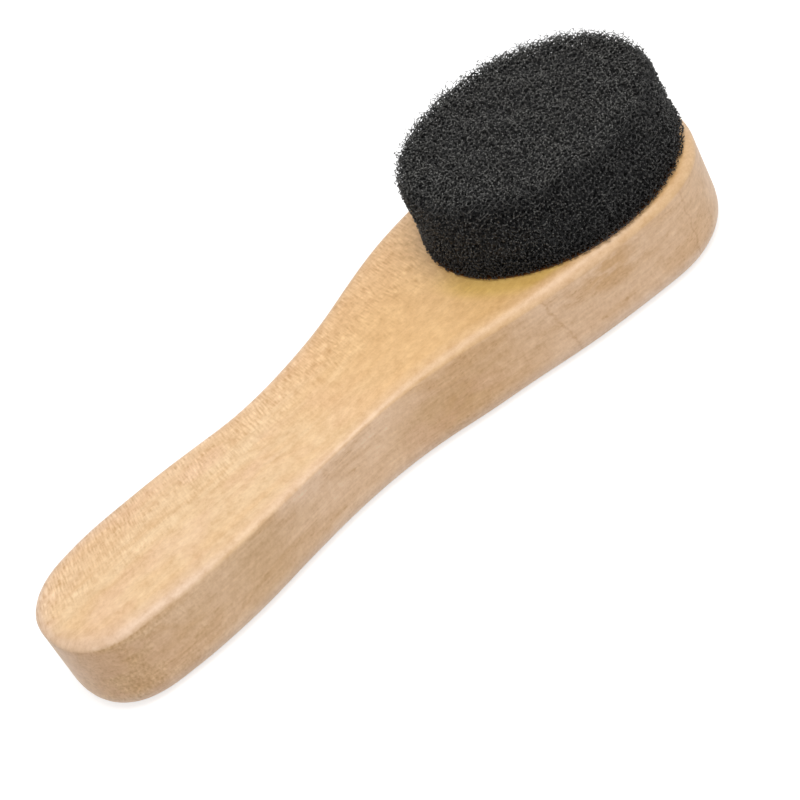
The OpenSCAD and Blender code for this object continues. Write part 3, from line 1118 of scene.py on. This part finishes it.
# Heights in mm above the foot between which the foam's darker tone towards its foot fades out.
FOOT_TONE_GONE, FOOT_TONE_FULL = 6.0, 0.5
MOTTLE_SIZE = (4.0, 4.0, 4.0)


def foam_material():
    """Dark foam, paler on top than on the side, partly as the die-cut side looks denser and partly as
    painted shade; paler at the rim, where light comes through; and darker in its depth and on its core, as
    painted shade.
    """
    material, tree = new_material("black_foam")
    point = object_mm(tree)
    depth, shine, side, rim = (attribute(tree, name) for name in ("depth", "shine", "side", "rim"))
    height = made(tree, "Z", "ShaderNodeSeparateXYZ", {0: point})
    at_foot = spread(height, float(pad_foot) + FOOT_TONE_GONE, float(pad_foot) + FOOT_TONE_FULL)
    mottle = noise(point, MOTTLE_SIZE, detail=3.0)
    surface = blend(spread(mottle, 0.35, 0.7), FOAM_TOP, FOAM_TOP_DEEP)
    surface = tinted(surface, rim * 0.35, FOAM_RIM)
    # Partly painted shade: the side darker than the top.
    surface = tinted(surface, side * 0.80, FOAM_SIDE)
    # Painted glints on the knots and cut ends, dimmer on the side.
    surface = mix_colours(shine, surface, blend(side * 0.5, KNOT_ON_TOP, KNOT_ON_SIDE))
    surface = tinted(surface, at_foot * 0.70, FOAM_FOOT)
    # Painted shade: struts deep in the foam, and its closed core, darken towards this colour.
    colour = tinted(surface, spread(depth, 0.0, 0.8), FOAM_DEPTH_SHADE)
    finish_material(tree, **{"Base Color": colour, "Roughness": 0.5})
    return material


foam_pad.data.materials.append(foam_material())
print("foam:", len(bpy.data.materials["black_foam"].node_tree.nodes), "nodes")

# %% [markdown]
# ## Glue
#
# Contact glue dries to a thin amber film with tiny bubbles in it. The CAD film already has the
# right shape and only a hairline of it can show, so it keeps its mesh and gets a glossy material.

# %% Glue material
GLUE_PALE, GLUE_DARK = (104, 60, 26), (72, 40, 18)
BUBBLE_SIZE = (0.8, 0.8, 0.3)
BUBBLE_DEPTH = 0.1


def glue_material():
    material, tree = new_material("amber_glue")
    bubbles = noise(object_mm(tree), BUBBLE_SIZE)
    bump = made(tree, "Normal", "ShaderNodeBump", {
        "Height": bubbles, "Strength": 0.4, "Distance": BUBBLE_DEPTH * MM})
    colour = blend(bubbles, GLUE_PALE, GLUE_DARK)
    finish_material(tree, **{"Base Color": colour, "Roughness": 0.25, "Normal": bump})
    return material


glue_node = nodes["adhesive_layer"]
glue_node.data.materials.clear()
glue_node.data.materials.append(glue_material())
print("glue film: new material on", len(glue_node.data.polygons), "CAD faces")

# %% [markdown]
# ## The studio
#
# A plain pale floor, an even white sky and one large soft lamp overhead. The floor adds a little
# glow of its own for the camera only, so that it reads as white paper and still takes a shadow.

# %% Floor
FLOOR_HALF = 3000.0
FLOOR_CORNERS = np.array([(-1, -1, 0), (1, -1, 0), (1, 1, 0), (-1, 1, 0)])
PAPER_GREY = 0.56
PAPER_GLOW = 0.70
WHITE = (1, 1, 1, 1)
floor = mesh_object("studio_floor", FLOOR_CORNERS * FLOOR_HALF, [(0, 1, 2, 3)], smooth=False)


def seen_directly(tree):
    """1 for what the camera sees, straight or in a reflection, and 0 for light on its way."""
    path = add_node(tree, "ShaderNodeLightPath").outputs
    camera_ray, glossy_ray, transmission_ray = (
        Value(tree, path[f"Is {kind} Ray"]) for kind in ("Camera", "Glossy", "Transmission"))
    return larger(larger(camera_ray, glossy_ray), transmission_ray)


def floor_material():
    material, tree = new_material("white_paper")
    paper = add_node(tree, "ShaderNodeBsdfDiffuse", {"Color": (PAPER_GREY, PAPER_GREY, PAPER_GREY, 1)})
    glow = add_node(tree, "ShaderNodeEmission", {"Color": WHITE, "Strength": PAPER_GLOW})
    both = add_node(tree, "ShaderNodeAddShader", {0: paper.outputs[0], 1: glow.outputs[0]})
    mix = add_node(tree, "ShaderNodeMixShader", {
        0: seen_directly(tree), 1: paper.outputs[0], 2: both.outputs[0]})
    add_node(tree, "ShaderNodeOutputMaterial", {"Surface": mix.outputs[0]})
    return material


floor.data.materials.append(floor_material())

# %% Light
SKY_STRENGTH = 0.48


def white_sky():
    """An even sky that lights softly, and that the camera and reflections see as plain white."""
    world = bpy.data.worlds.new("studio_sky")
    world.use_nodes = True
    tree = world.node_tree
    tree.nodes.clear()
    strength = made(tree, 0, "ShaderNodeMapRange", {"Value": seen_directly(tree), "To Min": SKY_STRENGTH})
    sky = add_node(tree, "ShaderNodeBackground", {"Color": WHITE, "Strength": strength})
    add_node(tree, "ShaderNodeOutputWorld", {"Surface": sky.outputs[0]})
    return world


def soft_lamp(name, spot, aim, size, watts):
    """A square area lamp at a spot in mm, facing a point."""
    lamp = bpy.data.lights.new(name, "AREA")
    lamp.energy = watts
    lamp.size = size * MM
    obj = bpy.data.objects.new(name, lamp)
    bpy.context.scene.collection.objects.link(obj)
    obj.location = np.array(spot) * MM
    direction = (np.array(aim) - np.array(spot)) * MM
    obj.rotation_euler = Vector(direction).to_track_quat("-Z", "Y").to_euler()
    return obj


bpy.context.scene.world = white_sky()
softbox = soft_lamp("overhead_softbox", (40.0, -250.0, 860.0), (0.0, 0.0, 15.0), size=560.0, watts=4.2)
print("lamp:", softbox.data.energy, "W, sky:", SKY_STRENGTH)

# %% [markdown]
# ## The camera
#
# The viewing angle, the turn of the picture and the distance were worked out by matching the
# outline of the handle and the pad to the photograph.

# %% Camera
AZIMUTH, ELEVATION, ROLL = np.radians([338.71, 37.28, -29.24])
# Everything here is in mm. The target lies this far right of and above the picture's middle.
DISTANCE = 423.0
FOCAL_MM = 107.1
SENSOR_MM = 36.0
TARGET = np.array([0.476, 0.0, 15.77])
TARGET_RIGHT, TARGET_UP = -5.683, 8.001
NEAREST, FARTHEST = 10.0, 20000.0
level = np.array([np.cos(AZIMUTH), np.sin(AZIMUTH), 0.0])
towards = np.array([level[1], -level[0], 0.0])
backward = towards * np.cos(ELEVATION) + np.array([0.0, 0.0, np.sin(ELEVATION)])
above = np.cross(backward, level)
right = level * np.cos(ROLL) + above * np.sin(ROLL)
up = -level * np.sin(ROLL) + above * np.cos(ROLL)
eye = TARGET - TARGET_RIGHT * right - TARGET_UP * up + DISTANCE * backward

lens = bpy.data.cameras.new("camera")
lens.lens = FOCAL_MM
lens.sensor_width = SENSOR_MM
lens.clip_start = NEAREST * MM
lens.clip_end = FARTHEST * MM
camera = bpy.data.objects.new("camera", lens)
bpy.context.scene.collection.objects.link(camera)
turned = np.column_stack([right, up, backward, eye * MM])
camera.matrix_world = Matrix([*turned.tolist(), [0, 0, 0, 1]])
bpy.context.scene.camera = camera
bpy.context.scene.view_settings.view_transform = "Standard"
print("camera at, mm:", eye.round(1))
